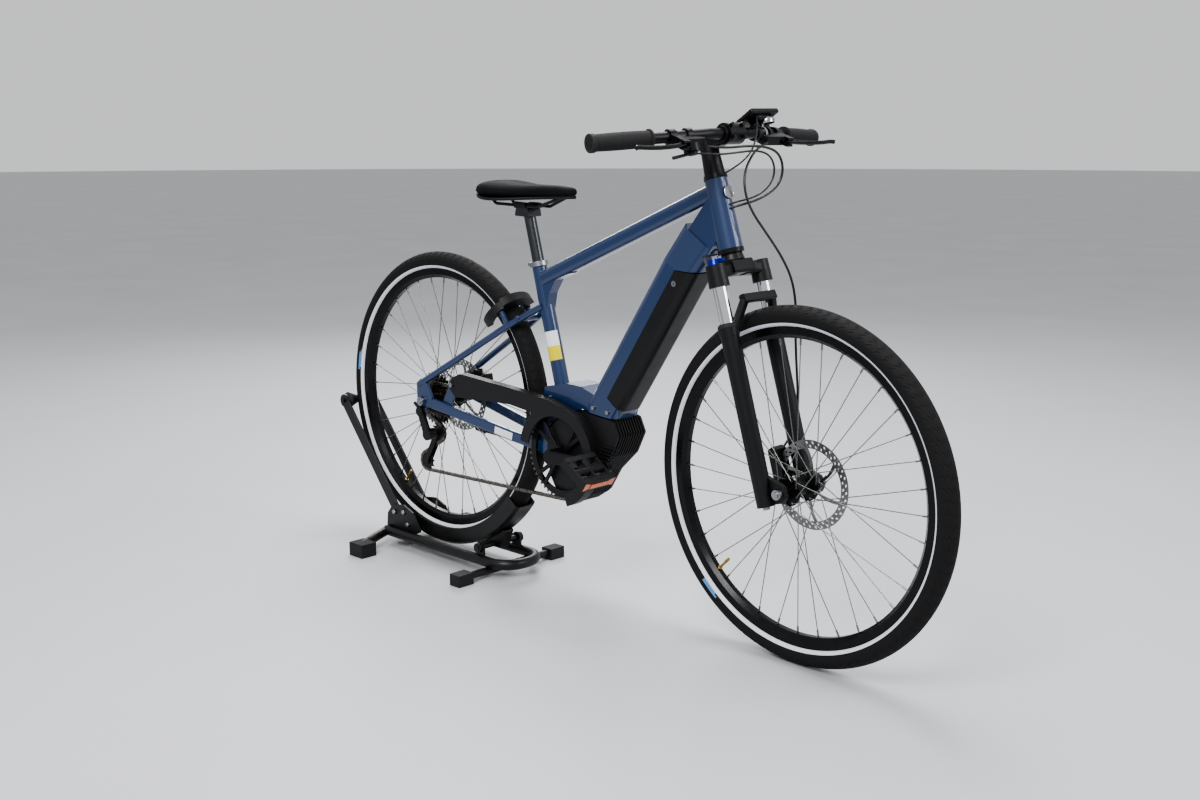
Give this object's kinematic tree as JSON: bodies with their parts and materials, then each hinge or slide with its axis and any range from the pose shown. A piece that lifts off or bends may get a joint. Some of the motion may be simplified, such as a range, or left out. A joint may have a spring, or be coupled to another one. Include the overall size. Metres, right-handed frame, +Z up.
{
  "type": "bicycle on stand",
  "caption": "Step-over city electric bicycle with suspension fork and disc brakes, its rear wheel held in a low tubular display stand.",
  "frame": {"origin": "on the floor, below the middle of the overall length and width", "axes": "+X towards the front wheel, +Y towards the bicycle's left, +Z up; the bicycle is pitched nose-down because the stand lifts its rear wheel"},
  "size_m": [1.8134, 0.6571, 1.0874],
  "materials": {
    "frame_paint": "gloss blue pearl",
    "black_metal": "satin black anodised",
    "black_plastic": "satin black",
    "steel": "bright zinc",
    "chain_steel": "oiled steel",
    "crank_metal": "black anodised",
    "pedal_plastic": "black with orange reflectors",
    "post_metal": "silver",
    "saddle_skin": "black vinyl",
    "tyre": "black rubber with reflective stripe",
    "rim_black": "black anodised",
    "spoke_steel": "dark stainless",
    "rotor_steel": "machined",
    "fork_black": "gloss black",
    "stanchion": "polished",
    "dial_anodised": "blue anodised",
    "grip_rubber": "black",
    "display_plastic": "black glass and plastic",
    "bell_silver": "silver",
    "hose": "black sheath",
    "stand_black": "black powder coat",
    "foot_rubber": "black",
    "roller_rubber": "black"
  },
  "bodies": {
    "frame": {"frame_tubes": "frame_paint", "rear_stays": "frame_paint", "headset_cups": "black_metal", "motor_housing": "black_plastic", "frame_hardware": "steel", "battery_case": "black_plastic", "ring_lock_case": "black_plastic", "rear_caliper": "black_metal", "rear_axle": "steel", "chain_guard": "black_plastic", "chain": "chain_steel", "derailleur_body": "black_metal", "stand_base": "stand_black", "stand_feet": "foot_rubber", "stand_cradle": "stand_black"},
    "key_lock": {"battery_lock": "steel"},
    "ring_lock_shackle": {"lock_shackle": "steel"},
    "cage": {"derailleur_cage": "black_metal"},
    "upper_pulley": {"guide_pulley": "black_plastic"},
    "lower_pulley": {"tension_pulley": "black_plastic"},
    "kickstand": {"kickstand_leg": "black_metal"},
    "crank": {"chain_ring": "chain_steel", "crank_set": "crank_metal"},
    "pedal_right": {"right_pedal": "pedal_plastic"},
    "pedal_left": {"left_pedal": "pedal_plastic"},
    "cassette": {"cassette": "chain_steel"},
    "rear_wheel": {"rear_tyre": "tyre", "rear_rim": "rim_black", "rear_spokes": "spoke_steel", "rear_hub": "black_metal", "rear_rotor": "rotor_steel"},
    "saddle": {"seatpost": "post_metal", "saddle_shell": "black_plastic", "saddle_pad": "saddle_skin"},
    "steering": {"fork_crown": "fork_black", "fork_stanchions": "stanchion", "stem": "black_metal", "handlebar": "black_metal", "grips": "grip_rubber", "control_mounts": "black_metal", "display_head": "display_plastic", "bell": "bell_silver", "rear_brake_hose": "hose", "shift_cable": "hose", "front_brake_hose": "hose", "display_cable": "hose"},
    "lockout": {"lockout_dial": "dial_anodised"},
    "fork_sliders": {"fork_lowers": "fork_black", "front_axle": "steel", "front_caliper": "black_metal"},
    "front_wheel": {"front_tyre": "tyre", "front_rim": "rim_black", "front_spokes": "spoke_steel", "front_hub": "black_metal", "front_rotor": "rotor_steel"},
    "lever_right": {"right_brake_lever": "black_metal"},
    "lever_left": {"left_brake_lever": "black_metal"},
    "thumb_shifter": {"shift_lever": "black_plastic"},
    "roller_arms": {"stand_arms": "stand_black"},
    "roller": {"stand_roller": "roller_rubber"}
  },
  "joints": [
    {"name": "steering_turn", "type": "hinge", "parent": "frame", "child": "steering", "pos_m": [0.3691, 0, 0.80267], "axis": [-0.2853, 0, 0.9584], "range_deg": [-50, 50], "deforming": ["rear_brake_hose", "shift_cable", "display_cable"]},
    {"name": "fork_travel", "type": "slide", "parent": "steering", "child": "fork_sliders", "axis": [-0.2853, 0, 0.9584], "range_m": [0, 0.045], "stiffness_N_per_m": 8000, "springref_m": -0.02, "deforming": ["front_brake_hose"]},
    {"name": "front_wheel_spin", "type": "hinge", "parent": "fork_sliders", "child": "front_wheel", "pos_m": [0.54888, -0.00232, 0.35798], "axis": [0.0488, 0.9987, 0.0145], "continuous": true},
    {"name": "rear_wheel_spin", "type": "hinge", "parent": "frame", "child": "rear_wheel", "pos_m": [-0.52133, 0, 0.39767], "axis": [0, 1, 0], "continuous": true},
    {"name": "crank_spin", "type": "hinge", "parent": "frame", "child": "crank", "pos_m": [-0.07045, 0, 0.33193], "axis": [0, 1, 0], "continuous": true},
    {"name": "right_pedal_spin", "type": "hinge", "parent": "crank", "child": "pedal_right", "pos_m": [0.09946, -0.088, 0.33749], "axis": [0, 1, 0], "continuous": true},
    {"name": "left_pedal_spin", "type": "hinge", "parent": "crank", "child": "pedal_left", "pos_m": [-0.24036, 0.088, 0.32636], "axis": [0, 1, 0], "continuous": true},
    {"name": "cassette_spin", "type": "hinge", "parent": "frame", "child": "cassette", "pos_m": [-0.52133, 0, 0.39767], "axis": [0, 1, 0], "continuous": true},
    {"name": "cage_swing", "type": "hinge", "parent": "frame", "child": "cage", "pos_m": [-0.50027, -0.044, 0.31784], "axis": [0, 1, 0], "range_deg": [-20, 0], "stiffness_Nm_per_rad": 1, "springref_deg": 22.92, "deforming": ["chain"]},
    {"name": "guide_pulley_spin", "type": "hinge", "parent": "cage", "child": "upper_pulley", "pos_m": [-0.50027, -0.044, 0.31784], "axis": [0, 1, 0], "continuous": true},
    {"name": "tension_pulley_spin", "type": "hinge", "parent": "cage", "child": "lower_pulley", "pos_m": [-0.54517, -0.044, 0.24045], "axis": [0, 1, 0], "continuous": true},
    {"name": "saddle_height", "type": "slide", "parent": "frame", "child": "saddle", "axis": [-0.2618, 0, 0.9651], "range_m": [-0.06, 0.08]},
    {"name": "kickstand_fold", "type": "hinge", "parent": "frame", "child": "kickstand", "pos_m": [-0.1923, 0.05, 0.31143], "axis": [0, -1, 0], "range_deg": [0, 52]},
    {"name": "ring_lock_turn", "type": "hinge", "parent": "frame", "child": "ring_lock_shackle", "pos_m": [-0.29386, 0, 0.62417], "axis": [-0.7056, 0, 0.7086], "range_deg": [-115, 0]},
    {"name": "battery_lock_turn", "type": "hinge", "parent": "frame", "child": "key_lock", "pos_m": [0.25105, 0, 0.73698], "axis": [0, 1, 0], "range_deg": [0, 90]},
    {"name": "lockout_turn", "type": "hinge", "parent": "steering", "child": "lockout", "pos_m": [0.37858, -0.06438, 0.79089], "axis": [-0.2853, 0, 0.9584], "range_deg": [0, 90]},
    {"name": "right_lever_pull", "type": "hinge", "parent": "steering", "child": "lever_right", "pos_m": [0.37508, -0.15559, 1.01567], "axis": [-0.3153, 0.0292, -0.9485], "range_deg": [0, 11], "stiffness_Nm_per_rad": 2, "springref_deg": -17.19},
    {"name": "left_lever_pull", "type": "hinge", "parent": "steering", "child": "lever_left", "pos_m": [0.38992, 0.14802, 1.02009], "axis": [0.3153, -0.0292, 0.9485], "range_deg": [0, 11], "stiffness_Nm_per_rad": 2, "springref_deg": -17.19},
    {"name": "shift_lever_push", "type": "hinge", "parent": "steering", "child": "thumb_shifter", "pos_m": [0.36314, -0.11474, 1.00099], "axis": [-0.2853, 0, 0.9584], "range_deg": [0, 25], "stiffness_Nm_per_rad": 0.5, "springref_deg": -11.46},
    {"name": "roller_arms_fold", "type": "hinge", "parent": "frame", "child": "roller_arms", "pos_m": [-0.67332, 0, 0.086], "axis": [0, -1, 0], "range_deg": [0, 50]},
    {"name": "roller_spin", "type": "hinge", "parent": "roller_arms", "child": "roller", "pos_m": [-0.88594, 0, 0.34567], "axis": [0, 1, 0], "continuous": true}
  ],
  "couplings": [
    {"joint": "cassette_spin", "follows": "crank_spin", "ratio": 2.3809},
    {"joint": "guide_pulley_spin", "follows": "crank_spin", "ratio": -4.5454},
    {"joint": "tension_pulley_spin", "follows": "crank_spin", "ratio": 4.5454}
  ]
}
